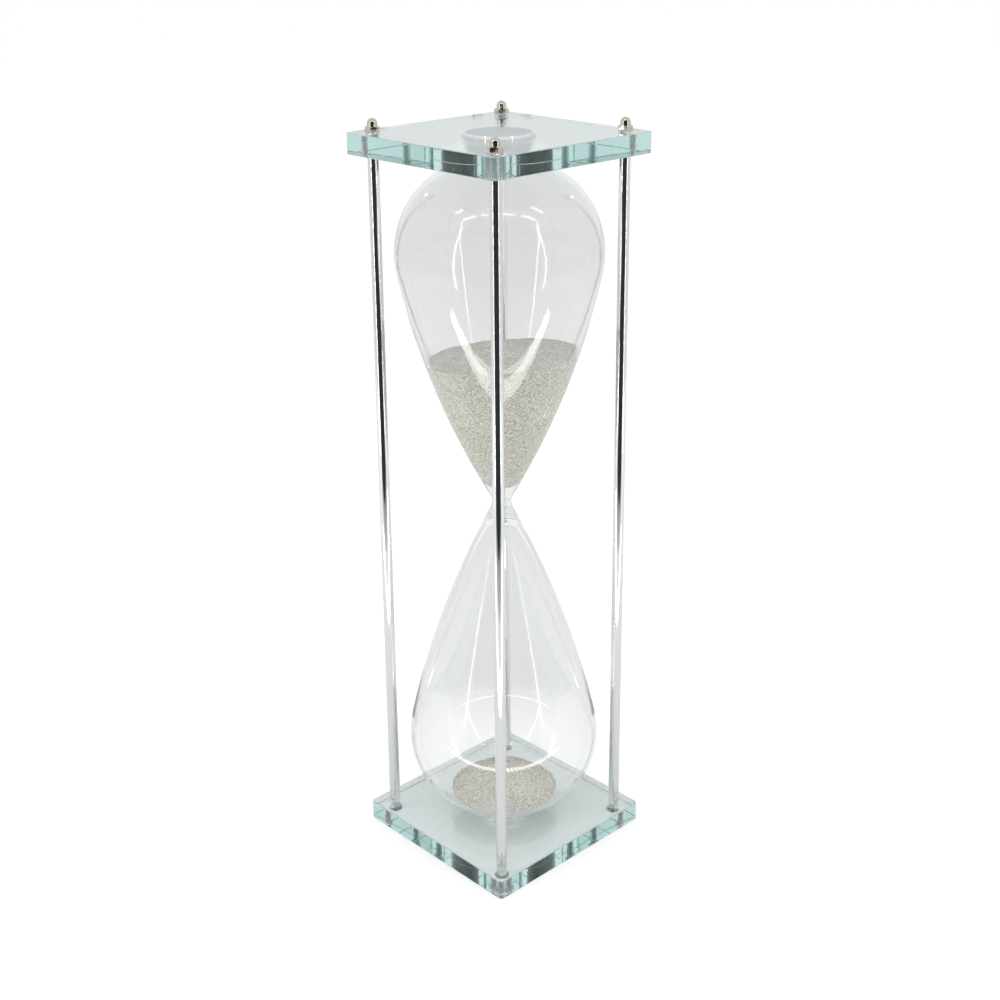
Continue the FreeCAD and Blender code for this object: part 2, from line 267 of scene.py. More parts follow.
def settle(obj):
    """Leave the object at the origin, with its place in its mesh."""
    only(obj)
    bpy.ops.object.transform_apply(location=True, rotation=True, scale=True)


def soften(obj, crease=30):
    """Smooth shading, with the edges sharper than a crease kept crisp."""
    only(obj)
    bpy.ops.object.shade_smooth_by_angle(angle=math.radians(crease))


def arc(centre, start, end, count):
    """Points after start, up to end, on the short arc about a centre; all are (radius, height)."""
    begin = math.atan2(start[1] - centre[1], start[0] - centre[0])
    finish = math.atan2(end[1] - centre[1], end[0] - centre[0])
    turn = (finish - begin + math.pi) % (2 * math.pi) - math.pi
    reach = math.dist(centre, start)
    points = []
    for i in range(1, count + 1):
        way = begin + turn * i / count
        points.append((centre[0] + reach * math.cos(way), centre[1] + reach * math.sin(way)))
    return points


def meeting(centre_a, reach_a, centre_b, reach_b):
    """The point at two given distances from two centres, on the side nearer the axis."""
    gap = math.dist(centre_a, centre_b)
    along = (reach_a ** 2 - reach_b ** 2 + gap ** 2) / (2 * gap)
    across = math.sqrt(reach_a ** 2 - along ** 2)
    ux = (centre_b[0] - centre_a[0]) / gap
    uz = (centre_b[1] - centre_a[1]) / gap
    return min(
        (centre_a[0] + ux * along - uz * side, centre_a[1] + uz * along + ux * side)
        for side in (-across, across))


def step_from(centre, through, reach):
    """Point at a distance from a centre, on the line towards another point."""
    share = reach / math.dist(centre, through)
    return (centre[0] + (through[0] - centre[0]) * share, centre[1] + (through[1] - centre[1]) * share)


def turned(name, profile, steps=64, centre=(0.0, 0.0)):
    """Lathe a run of (radius, height) points about an upright axis; a run off the axis is closed."""
    x, y = centre
    start = profile[0]
    bpy.ops.object.select_all(action="DESELECT")
    bpy.ops.mesh.primitive_plane_add(size=MM, location=(x + start[0], y, start[1]))
    obj = bpy.context.object
    obj.name = name
    settle(obj)
    edit()
    bpy.ops.mesh.select_all(action="SELECT")
    bpy.ops.mesh.merge(type="CENTER")
    last = start
    for point in profile[1:]:
        move = (point[0] - last[0], 0, point[1] - last[1])
        bpy.ops.mesh.extrude_vertices_move(TRANSFORM_OT_translate={"value": move})
        last = point
    bpy.ops.mesh.select_all(action="SELECT")
    bpy.ops.mesh.spin(steps=steps, angle=2 * math.pi, center=(x, y, 0), axis=(0, 0, 1))
    bpy.ops.mesh.select_all(action="SELECT")
    bpy.ops.mesh.remove_doubles(threshold=MM / 1000)
    bpy.ops.mesh.normals_make_consistent(inside=False)
    leave()
    return obj


def hexagon(name, flats, depth, centre, turn=0.0):
    """A hexagonal bar, given across its flats."""
    bpy.ops.object.select_all(action="DESELECT")
    bpy.ops.mesh.primitive_cylinder_add(
        vertices=6, radius=flats / math.sqrt(3), depth=depth, location=centre, rotation=(0, 0, turn))
    bar = bpy.context.object
    bar.name = name
    settle(bar)
    return bar


def modify(obj, kind, **fields):
    """Add a modifier, set its fields and apply it."""
    only(obj)
    modifier = obj.modifiers.new(kind.lower(), kind)
    for field, value in fields.items():
        setattr(modifier, field, value)
    bpy.ops.object.modifier_apply(modifier=modifier.name)


def combine(obj, other, operation):
    """Boolean one object with another, which is then gone."""
    modify(obj, "BOOLEAN", operation=operation, solver="EXACT", object=other)
    bpy.data.objects.remove(other)


def threads(radius, bottom, top, pitch):
    """Profile of a cut thread, as turned grooves, from bottom to top."""
    depth = pitch * 0.54
    turns = int((top - bottom) / pitch)
    points = []
    for i in range(turns):
        foot = bottom + i * pitch
        points += [(radius, foot), (radius, foot + pitch * 0.12)]
        points += [(radius - depth, foot + pitch * 0.5), (radius - depth, foot + pitch * 0.62)]
    points.append((radius, bottom + turns * pitch))
    return points


def copy_at(obj, name, offset):
    """A copy with its own mesh, moved in its mesh."""
    twin = obj.copy()
    twin.data = obj.data.copy()
    twin.name = name
    bpy.context.scene.collection.objects.link(twin)
    twin.location = (offset[0], offset[1], 0)
    settle(twin)
    return twin


def dress(obj, material, slot, *nodes):
    """Give a new piece its finish, its body and the frame's nodes that it stands for."""
    obj.data.materials.clear()
    obj.data.materials.append(material)
    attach(obj, "root")
    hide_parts(*nodes)


def set_out(first, name, node, material, slot):
    """Copy a piece from the first corner to the others, and dress all four."""
    start = middle(node + CORNERS[0])
    for corner in CORNERS[1:]:
        x, y = middle(node + corner)
        twin = copy_at(first, name + corner, (x - start[0], y - start[1]))
        dress(twin, material, slot, node + corner)
    dress(first, material, slot, node + CORNERS[0])


# ---- material tools ----
def add(tree, kind, inputs=None, **fields):
    """Add a shader node, set its fields and its inputs; a node there stands for its first output."""
    made = tree.nodes.new("ShaderNode" + kind)
    for field, value in fields.items():
        setattr(made, field, value)
    for socket, value in (inputs or {}).items():
        if isinstance(value, bpy.types.Node):
            value = value.outputs[0]
        if isinstance(value, bpy.types.NodeSocket):
            tree.links.new(value, made.inputs[socket])
        else:
            made.inputs[socket].default_value = value
    return made


def blank(name):
    """A material with an empty node tree."""
    material = bpy.data.materials.new(name)
    material.use_nodes = True
    material.node_tree.nodes.clear()
    return material, material.node_tree


def rgba(colour):
    return (colour[0], colour[1], colour[2], 1.0)


def surfaced(material, shader):
    """The material, with a shader as its surface."""
    add(material.node_tree, "OutputMaterial", {"Surface": shader})
    return material


def here(tree):
    """The place on the object."""
    return add(tree, "TexCoord").outputs["Object"]


def blotches(tree, size, detail, place=None):
    """Cloudy noise whose patches have a given size."""
    return add(tree, "TexNoise", {
        "Vector": here(tree) if place is None else place, "Scale": 1 / size, "Detail": detail,
    })


def stretch(tree, value, start, stop, first, last):
    """Values from start to stop, mapped to first to last."""
    return add(tree, "MapRange", {
        "Value": value, "From Min": start, "From Max": stop, "To Min": first, "To Max": last,
    })


def raised(tree, height, distance):
    """Bumps of a given height."""
    return add(tree, "Bump", {"Strength": 1.0, "Distance": distance, "Height": height})


def clear(tree, ior, roughness, normal):
    """Clear glass."""
    return add(tree, "BsdfPrincipled", {
        "Base Color": (1, 1, 1, 1),
        "Roughness": roughness,
        "IOR": ior,
        "Transmission Weight": 1.0,
        "Normal": normal,
    })


def lets_lamps_through(tree, surface, tint):
    """Glass whose shadow is light, so that lamps reach what stands behind it."""
    shadow = add(tree, "BsdfTransparent", {"Color": rgba(tint)})
    ray = add(tree, "LightPath")
    return add(tree, "MixShader", {
        0: ray.outputs["Is Shadow Ray"], 1: surface, 2: shadow,
    })


def plate_body(tree, surface):
    """The plates' glass under a surface: it takes the red out of light that goes far through it."""
    values = settings("plates")
    absorb = add(tree, "VolumeAbsorption", {
        "Color": rgba(values.tint), "Density": 1 / values.tint_depth,
    })
    add(tree, "OutputMaterial", {
        "Surface": lets_lamps_through(tree, surface, (0.92, 0.95, 0.95)),
        "Volume": absorb,
    })


def metal(name, colour, marks, detail, smoothest, roughest, drawn=1.0):
    """Bare or plated metal: marks of a given size, drawn out along the bar, vary its polish."""
    material, tree = blank(name)
    place = add(tree, "Mapping", {"Vector": here(tree), "Scale": (1, 1, 1 / drawn)})
    noise = blotches(tree, marks, detail, place)
    return surfaced(material, add(tree, "BsdfPrincipled", {
        "Base Color": rgba(colour),
        "Metallic": 1.0,
        "Roughness": stretch(tree, noise, 0.3, 0.7, smoothest, roughest),
    }))


# ---- materials ----
def polished_float_glass():
    """Float glass, ground and polished on its edges: clear through its faces, aqua along its length."""
    material, tree = blank("polished_float_glass")
    # the polishing wheel leaves a ripple about 14 mm long and some millionths of a metre high
    ripple = raised(tree, blotches(tree, 14 * MM, 1.0), 0.002 * MM)
    plate_body(tree, clear(tree, 1.52, 0.0, ripple))
    return material


def ground_glass(name, white):
    """Glass off the wheel or drill: a frost of tiny pits, the whiter the finer, with bright chips."""
    material, tree = blank(name)
    chips = blotches(tree, 0.8 * MM, 2.0)
    rough = stretch(tree, chips, 0.35, 0.65, 0.3, 0.6)
    glass = clear(tree, 1.52, rough, raised(tree, chips, 0.03 * MM))
    frost = add(tree, "BsdfDiffuse", {"Color": rgba(settings("plates").frost)})
    pitted = add(tree, "MixShader", {0: white, 1: glass, 2: frost})
    plate_body(tree, pitted)
    return material


def blown_glass():
    """Lampworked borosilicate: water-clear, with the slow ripple of the blower's turning."""
    material, tree = blank("blown_borosilicate_glass")
    ripple = raised(tree, blotches(tree, 35 * MM, 1.0), 0.02 * MM)
    glass = clear(tree, 1.47, 0.0, ripple)
    return surfaced(material, lets_lamps_through(tree, glass, (0.95, 0.95, 0.95)))


def chrome_plate():
    """Bright chromium over polished steel: a mirror with the faintest drag marks along the bar."""
    return metal("bright_chrome_plate", settings("rods").colour, 0.4 * MM, 2.0, 0.03, 0.07, drawn=50)


def nickel_plate():
    """Bright nickel over turned brass: a warm mirror, a touch softer than chrome."""
    return metal("bright_nickel_plate", settings("nuts").colour, 1.2 * MM, 2.0, 0.04, 0.1)


def turned_steel():
    """Plain stainless steel off the lathe: grey, with a fine grain that dulls it."""
    return metal("turned_stainless_steel", settings("screws").colour, 0.25 * MM, 3.0, 0.18, 0.32)


def moulded_silicone(name, colour, smoothest, roughest):
    """Moulded silicone that passes a little light: wet gloss on the body and band, matt on the face."""
    material, tree = blank(name)
    haze = blotches(tree, 3 * MM, 3.0)
    return surfaced(material, add(tree, "BsdfPrincipled", {
        "Base Color": rgba(colour),
        "Roughness": stretch(tree, haze, 0.3, 0.7, smoothest, roughest),
        "IOR": 1.41,
        "Transmission Weight": 0.1,
    }))


def washed_sand():
    """Washed quartz sand: matt grains of many pale greys, each catching the light its own way."""
    material, tree = blank("washed_quartz_sand")
    values = settings("sand")
    cells = add(tree, "TexVoronoi", {"Vector": here(tree), "Scale": 1 / values.grain})
    pick = add(tree, "SeparateColor", {"Color": cells.outputs["Color"]})
    shade = add(tree, "ValToRGB", {"Fac": pick})
    shade.color_ramp.elements[0].color = rgba(values.dark)
    shade.color_ramp.elements[1].color = rgba(values.pale)
    drift = blotches(tree, 9 * MM, 2.0)
    mixed = add(tree, "MixRGB", {
        "Fac": 0.25, "Color1": shade, "Color2": drift,
    }, blend_type="OVERLAY")
    bump = add(tree, "Bump", {
        "Strength": 0.5, "Distance": values.grain / 4, "Height": cells.outputs["Distance"],
    }, invert=True)
    return surfaced(material, add(tree, "BsdfPrincipled", {
        "Base Color": mixed,
        "Roughness": 0.75,
        "Normal": bump,
    }))


# ---- glass plates ----
class HOURGLASS_OT_plates(bpy.types.Operator):
    """Cut, grind and drill the two square plates of float glass"""
    bl_idname = "hourglass.plates"
    bl_label = "Glass plates"

    def execute(self, context):
        values = settings("plates")
        polished = polished_float_glass()
        ground = ground_glass("wheel_ground_glass", 0.5)
        drilled = ground_glass("drilled_glass", 0.2)
        for name, node in (("float_plate_top", "top_plate"), ("float_plate_bottom", "bottom_plate")):
            plate = self.plate(name, node)
            for corner in CORNERS:
                self.drill(plate, node, values.hole, middle("rod_" + corner), node == "bottom_plate")
            self.drill(plate, node, values.bore, (0, 0), False, ROUND_STEPS)
            soften(plate, 20)
            dress(plate, polished, "plate_glass", node)
            self.leave_ground(plate, ground, drilled)
        return {"FINISHED"}

    def plate(self, name, node):
        """A square plate with rounded corners and a ground arris along every edge."""
        values = settings("plates")
        bpy.ops.object.select_all(action="DESELECT")
        bpy.ops.mesh.primitive_cube_add(
            size=1, location=(0, 0, (low(node) + high(node)) / 2),
            scale=(PLATE_SIDE, PLATE_SIDE, PLATE_THICKNESS))
        plate = bpy.context.object
        plate.name = name
        settle(plate)
        self.bevel(plate, values.corner, 8, lambda a, b: abs(a.z - b.z) > PLATE_THICKNESS / 2)
        self.bevel(plate, values.arris, 1, lambda a, b: abs(a.z - b.z) < PLATE_THICKNESS / 2)
        return plate

    def bevel(self, obj, width, segments, wanted):
        """Bevel the sharp edges whose two ends pass a test."""
        only(obj)
        edit()
        bpy.ops.mesh.select_mode(type="EDGE")
        bpy.ops.mesh.select_all(action="DESELECT")
        leave()
        mesh = obj.data
        for edge in mesh.edges:
            a, b = (mesh.vertices[i].co for i in edge.vertices)
            edge.select = wanted(a, b)
        edit()
        bpy.ops.mesh.bevel(offset=width, segments=segments, affect="EDGES")
        bpy.ops.mesh.select_mode(type="VERT")
        leave()

    def drill(self, plate, node, reach, spot, countersunk, steps=SMALL_STEPS):
        """A drilled hole, with its rims ground, or countersunk from below for a screw."""
        values = settings("plates")
        foot = low(node)
        top = high(node)
        chamfer = values.arris / 2
        if countersunk:
            wide = values.countersink
            land = foot + values.sink
            profile = [(0, foot - wide), (wide, foot - wide), (wide, land)]
            profile += [(reach, land + wide - reach)]
        else:
            rim = reach + 2 * chamfer
            profile = [(0, foot - chamfer), (rim, foot - chamfer), (reach, foot + chamfer)]
        profile += [(reach, top - chamfer), (reach + 2 * chamfer, top + chamfer), (0, top + chamfer)]
        combine(plate, turned("drill", profile, steps, spot), "DIFFERENCE")

    def leave_ground(self, obj, ground, drilled):
        """Give the arrises a ground finish and the screw holes a drilled one; the bore is polished."""
        values = settings("plates")
        obj.data.materials.append(ground)
        obj.data.materials.append(drilled)
        inner = PLATE_SIDE / 2 - values.corner
        bore = values.bore + values.arris
        for face in obj.data.polygons:
            x, y = face.center.xy
            steep = abs(face.normal.z)
            if max(abs(x), abs(y)) < inner and steep < ALMOST_LEVEL and math.hypot(x, y) > bore:
                face.material_index = 2
            elif ALMOST_UPRIGHT < steep < ALMOST_LEVEL:
                face.material_index = 1


# ---- rods ----
class HOURGLASS_OT_rods(bpy.types.Operator):
    """Turn the four chromed rods, with a threaded stud above and a tapped bore below"""
    bl_idname = "hourglass.rods"
    bl_label = "Rods"

    def execute(self, context):
        values = settings("rods")
        first = "rod_" + CORNERS[0]
        foot = low(first) + AIR
        tip = high(first)
        shoulder = low("top_plate") - AIR
        bore_top = foot + values.bore_depth
        edge = values.edge
        stud = values.thread_radius
        flat = ROD_RADIUS - edge
        profile = [(stud, foot), (flat, foot)]
        profile += arc((flat, foot + edge), (flat, foot), (ROD_RADIUS, foot + edge), 3)
        profile += [(ROD_RADIUS, shoulder - edge)]
        profile += arc((flat, shoulder - edge), (ROD_RADIUS, shoulder - edge), (flat, shoulder), 3)
        profile += threads(stud, shoulder, tip - edge, values.pitch)
        # the stud's tip, then down the tapped bore below
        profile += [(stud - edge, tip), (0, tip), (0, bore_top + stud / 2)]
        profile += [(stud, bore_top), (stud, foot)]
        rod = turned("threaded_rod_" + CORNERS[0], profile, SMALL_STEPS, middle(first))
        soften(rod)
        set_out(rod, "threaded_rod_", "rod_", chrome_plate(), "rod_chrome")
        return {"FINISHED"}


# ---- acorn nuts ----
class HOURGLASS_OT_acorn_nuts(bpy.types.Operator):
    """Make the four domed cap nuts that clamp the top plate"""
    bl_idname = "hourglass.acorn_nuts"
    bl_label = "Acorn nuts"

    def execute(self, context):
        nickel = nickel_plate()
        for corner, turn in zip(CORNERS, (8, 37, 22, 51)):
            nut = self.nut("cap_nut_" + corner, "acorn_nut_" + corner, math.radians(turn))
            dress(nut, nickel, "nut_nickel", "acorn_nut_" + corner)
        return {"FINISHED"}

    def nut(self, name, node, turn):
        """A hexagonal foot with turned corners, run into a domed cap."""
        values = settings("nuts")
        x, y = middle(node)
        foot = low(node)
        shoulder = foot + values.hexagon_height
        corner = values.flats / math.sqrt(3)
        drop = values.corner_drop
        half = values.flats / 2
        dome = values.dome_radius
        spring = high(node) - dome
        body = hexagon(name, values.flats, values.hexagon_height, (x, y, (foot + shoulder) / 2),
                       turn + math.radians(90))
        clear_of = corner + drop
        combine(body, turned("corners", [
            (0, foot), (half, foot), (corner, foot + drop), (clear_of, foot + drop),
            (clear_of, shoulder - drop), (corner, shoulder - drop), (half, shoulder), (0, shoulder),
        ], ROUND_STEPS, (x, y)), "INTERSECT")
        cap_profile = [(0, foot + drop), (dome, foot + drop), (dome, spring)]
        cap_profile += arc((0, spring), (dome, spring), (0, high(node)), 14)
        cap = turned("cap", cap_profile, 64, (x, y))
        combine(body, cap, "UNION")
        modify(body, "BEVEL", width=values.softness, segments=3, limit_method="ANGLE",
               angle_limit=math.radians(25), harden_normals=False)
        soften(body, 40)
        return body


# ---- screws ----
class HOURGLASS_OT_plate_screws(bpy.types.Operator):
    """Make the four countersunk socket screws that hold the bottom plate"""
    bl_idname = "hourglass.plate_screws"
    bl_label = "Plate screws"

    def execute(self, context):
        values = settings("screws")
        first = "plate_screw_" + CORNERS[0]
        head = low(first)
        tip = high(first)
        rods = settings("rods")
        stud = rods.thread_radius
        edge = rods.edge
        land = head + values.head_land
        throat = land + values.head_radius - stud
        profile = [(0, head), (values.head_radius, head), (values.head_radius, land), (stud, throat)]
        profile += threads(stud, throat + rods.pitch, tip - edge, rods.pitch)
        profile += [(stud - edge, tip), (0, tip)]
        start = middle(first)
        screw = turned("socket_screw_" + CORNERS[0], profile, SMALL_STEPS, start)
        socket = hexagon("socket", values.socket, 2 * values.socket_depth, (*start, head))
        combine(screw, socket, "DIFFERENCE")
        soften(screw)
        set_out(screw, "socket_screw_", "plate_screw_", turned_steel(), "screw_steel")
        return {"FINISHED"}


# ---- blown bulb ----
class Half:
    """The curves of the upper or lower chamber, as (radius, height) with the waist at height 0."""

    def __init__(self, which):
        values = settings("bulb")
        shoulder_cut, crown_extra, self.flank_radius, self.hollow_radius = (
            getattr(values, f"{which}_{part}") for part in ("cut", "crown", "flank", "hollow"))
        self.belly_radius = BELLY_RADIUS - (values.slimmer if which == "lower" else 0)
        self.crown_radius = self.belly_radius - shoulder_cut + crown_extra
        rise = math.sqrt(self.crown_radius ** 2 - (values.mouth + values.lip) ** 2)
        crown_z = BULB_HALF - values.neck - rise
        belly_z = crown_z + math.sqrt(crown_extra ** 2 - shoulder_cut ** 2)
        self.crown = (0, crown_z)
        self.belly = (0, belly_z)
        self.shoulder = (shoulder_cut, belly_z)

    def end(self, inset, start, mouth_radius):
        """Belly, shoulder and crown, after a point on the belly's arc, up to the mouth."""
        widest = (self.belly_radius - inset, self.belly[1])
        turn = step_from(self.crown, self.shoulder, self.crown_radius - inset)
        rise = math.sqrt((self.crown_radius - inset) ** 2 - mouth_radius ** 2)
        mouth = (mouth_radius, self.crown[1] + rise)
        return (
            arc(self.belly, start, widest, 10)
            + arc(self.shoulder, widest, turn, 28)
            + arc(self.crown, turn, mouth, 10)
        )

    def outside(self):
        """Outer profile, from the waist to the mouth, whose lip is rounded in the flame."""
        values = settings("bulb")
        reach = self.flank_radius
        waist = (values.waist + values.waist_fillet, 0)
        flank = meeting(self.belly, reach - self.belly_radius, waist, reach + values.waist_fillet)
        leave_waist = step_from(waist, flank, values.waist_fillet)
        join = step_from(flank, self.belly, reach)
        round_lip = values.lip / 2
        centre = (values.mouth + round_lip, BULB_HALF - round_lip)
        brow = (centre[0], BULB_HALF)
        return (
            arc(waist, (values.waist, 0), leave_waist, 8)
            + arc(flank, leave_waist, join, 40)
            + self.end(0, join, values.mouth + values.lip)
            + [(values.mouth + values.lip, centre[1])]
            + arc(centre, (values.mouth + values.lip, centre[1]), brow, 5)
            + arc(centre, brow, (values.mouth, centre[1]), 5)
        )

    def inside(self, gap=0.0):
        """Profile of the chamber, from the funnel's foot to the mouth, drawn in by a gap."""
        values = settings("bulb")
        inset = values.wall + gap
        reach = self.hollow_radius - gap
        tip = (0, values.tip_height + values.tip)
        foot = (0, values.tip_height + gap)
        flank = meeting(self.belly, reach - self.belly_radius + inset, tip, reach - values.tip + gap)
        leave_tip = step_from(flank, tip, reach)
        join = step_from(flank, self.belly, reach)
        return (
            [foot]
            + arc(tip, foot, leave_tip, 12)
            + arc(flank, leave_tip, join, 40)
            + self.end(inset, join, values.mouth)
        )


def set_up(points, side):
    """From heights above the waist to heights above the table, on its upper or lower side."""
    return [(r, WAIST_Z + side * z) for r, z in points]


class HOURGLASS_OT_bulb(bpy.types.Operator):
    """Blow the one-piece bulb, with rounded lips and a fine hole through its solid waist"""
    bl_idname = "hourglass.bulb"
    bl_label = "Glass bulb"

    def execute(self, context):
        values = settings("bulb")
        upper = self.wall(Half("upper"))
        lower = self.wall(Half("lower"))
        waist = (values.waist, WAIST_Z)
        loop = [waist] + set_up(upper, 1) + set_up(reversed(lower), -1) + [waist]
        bulb = turned("blown_bulb", loop, values.steps)
        soften(bulb, 60)
        dress(bulb, blown_glass(), "bulb_glass", "glass_bulb")
        return {"FINISHED"}

    def wall(self, half):
        """Up the outside from the waist, over the lip and down the inside to the orifice."""
        bore = settings("bulb").orifice
        chamber = half.inside()
        funnel = [point for point in chamber if point[0] > bore]
        return half.outside() + list(reversed(funnel)) + [(bore, self.height_at(chamber, bore))]

    def height_at(self, points, wanted):
        """Height where a run of points first reaches a radius."""
        for (r0, z0), (r1, z1) in zip(points, points[1:]):
            if r0 <= wanted <= r1:
                return z0 + (z1 - z0) * (wanted - r0) / (r1 - r0)
        raise ValueError("the funnel never reaches the orifice's radius")


# ---- stoppers ----
def corner(before, point, after, width, count=3):
    """Points that round one corner of a profile, where it sticks out."""
    if (point[0] - before[0]) * (after[1] - point[1]) < (point[1] - before[1]) * (after[0] - point[0]):
        return [point]
    start = step_from(point, before, width)
    end = step_from(point, after, width)
    points = [start]
    for i in range(1, count + 1):
        share = i / count
        near = [start[k] + (point[k] - start[k]) * share for k in (0, 1)]
        far = [point[k] + (end[k] - point[k]) * share for k in (0, 1)]
        points.append(tuple(near[k] + (far[k] - near[k]) * share for k in (0, 1)))
    return points


def stopper_profile():
    """Sharp corners of the upper stopper, from the middle of its foot to the middle of its face."""
    values = settings("stoppers")
    rim = radius("top_stopper")
    seat = low("top_plate") - AIR
    under = seat - FLANGE_THICKNESS + 2 * AIR
    foot = low("top_stopper")
    body = settings("bulb").mouth + values.contact
    boss = settings("plates").bore - values.gap
    face = high("top_plate") - values.short
    return [
        (0, foot),
        (body - values.taper, foot),
        (body, under),
        (rim, under),
        (rim, seat - values.bevel_drop),
        (rim - values.bevel_width, seat),
        (boss, seat),
        (boss, face),
        (0, face),
    ]


class HOURGLASS_OT_stoppers(bpy.types.Operator):
    """Mould the two flanged stoppers that close the bulb's mouths"""
    bl_idname = "hourglass.stoppers"
    bl_label = "Stoppers"

    def execute(self, context):
        values = settings("stoppers")
        body = moulded_silicone("moulded_clear_silicone", values.colour, 0.06, 0.14)
        # the dark band is painted reflection and shade, for the boss's sides seen through the bore
        band = moulded_silicone("painted_shade_band", values.band, 0.08, 0.2)
        face = moulded_silicone("matt_silicone_face", values.face, 0.4, 0.5)
        sharp = stopper_profile()
        profile = sharp[:1]
        for before, point, after in zip(sharp, sharp[1:], sharp[2:]):
            profile += corner(before, point, after, values.edge)
        profile += sharp[-1:]
        for name, node, side in (("top", "top_stopper", 1), ("bottom", "bottom_stopper", -1)):
            run = [(r, WAIST_Z + side * (z - WAIST_Z)) for r, z in profile]
            piece = turned("flanged_stopper_" + name, run, ROUND_STEPS)
            soften(piece, 50)
            dress(piece, body, "stopper_silicone", node)
            self.mark_boss(piece, band, face)
        return {"FINISHED"}

    def mark_boss(self, piece, band, face):
        """Give the boss's sides a band of painted dark reflection and shade, and the boss its matt
        face.
        """
        piece.data.materials.append(band)
        piece.data.materials.append(face)
        start = low("top_plate") + settings("stoppers").edge - WAIST_Z
        for polygon in piece.data.polygons:
            if abs(polygon.center.z - WAIST_Z) > start:
                polygon.material_index = 2 if abs(polygon.normal.z) > FACES_OUT else 1


# ---- sand ----
class HOURGLASS_OT_sand(bpy.types.Operator):
    """Fill the chambers with sand, caught as it runs"""
    bl_idname = "hourglass.sand"
    bl_label = "Sand"

    def execute(self, context):
        sand = washed_sand()
        for make, node in (
            (self.upper, "upper_sand"), (self.lower, "lower_sand"), (self.thread, "falling_sand"),
        ):
            piece = make()
            soften(piece, 50)
            dress(piece, sand, "sand", node)
        return {"FINISHED"}

    def fill(self, name, half, side):
        """The whole of a chamber's space; its grains touch the glass, so no film of air mirrors."""
        run = set_up(half.inside(-settings("sand").contact), side)
        run.append((0, run[-1][1]))
        return turned(name, run, 128)

    def surface(self, rise, level, floor_z):
        """A block of sand under a poured surface; rise gives its height at each radius."""
        rings = 40
        run = [(0, floor_z), (BELLY_RADIUS, floor_z)]
        for i in range(rings + 1):
            reach = BELLY_RADIUS * (1 - i / rings)
            run.append((reach, level + rise(reach)))
        block = turned("poured", run, ROUND_STEPS)
        clouds = bpy.data.textures.new("drifts", "CLOUDS")
        clouds.noise_scale = 7 * MM
        modify(block, "DISPLACE", texture=clouds, direction="Z", mid_level=0.5,
               strength=2 * settings("sand").ripple)
        bpy.data.textures.remove(clouds)
        return block

    def upper(self):
        """Fills the upper funnel; its top leans to one side and is dished over the orifice."""
        values = settings("sand")
        ball = (values.crater_radius ** 2 + values.crater_depth ** 2) / (2 * values.crater_depth)
        level = WAIST_Z + values.level

        def dish(reach):
            if reach >= values.crater_radius:
                return 0.0
            return ball - values.crater_depth - math.sqrt(ball ** 2 - reach ** 2)

        body = self.fill("upper_sand_bed", Half("upper"), 1)
        block = self.surface(dish, level, WAIST_Z - BELLY_RADIUS)
        hinge = Vector((-math.sin(values.towards), math.cos(values.towards), 0))
        only(block)
        block.matrix_world = (
            Matrix.Translation((0, 0, level))
            @ Matrix.Rotation(values.tilt, 4, hinge)
            @ Matrix.Translation((0, 0, -level))
        )
        settle(block)
        combine(body, block, "INTERSECT")
        return body

    def lower(self):
        """Low heap round the lower stopper, under the falling thread."""
        values = settings("sand")
        level = PLATE_THICKNESS + values.lower_level
        crest = values.heap_rise
        spread = radius("lower_sand")

        def heap(reach):
            return crest * (1 - (reach / spread) ** 2)

        body = self.fill("lower_sand_heap", Half("lower"), -1)
        block = self.surface(heap, level, 0.0)
        combine(body, block, "INTERSECT")
        sharp = [(r, 2 * WAIST_Z - z) for r, z in stopper_profile()]
        combine(body, turned("plug", sharp, ROUND_STEPS), "DIFFERENCE")
        return body

    def thread(self):
        """Sand running from the funnel's tip, through the orifice, to the heap's crest."""
        values = settings("sand")
        bulb = settings("bulb")
        full = bulb.orifice + values.contact
        top = WAIST_Z + bulb.tip_height
        mouth = WAIST_Z - bulb.tip_height
        foot = PLATE_THICKNESS + values.lower_level + values.heap_rise - values.ripple
        run = [(0, foot), (values.stream, foot), (values.stream, mouth - values.stream_draw)]
        steps = 12
        for i in range(1, steps + 1):
            share = i / steps
            wide = values.stream + (full - values.stream) * share ** 2
            run.append((wide, mouth - values.stream_draw * (1 - share)))
        run += [(full, top), (0, top)]
        return turned("falling_thread", run, 24)


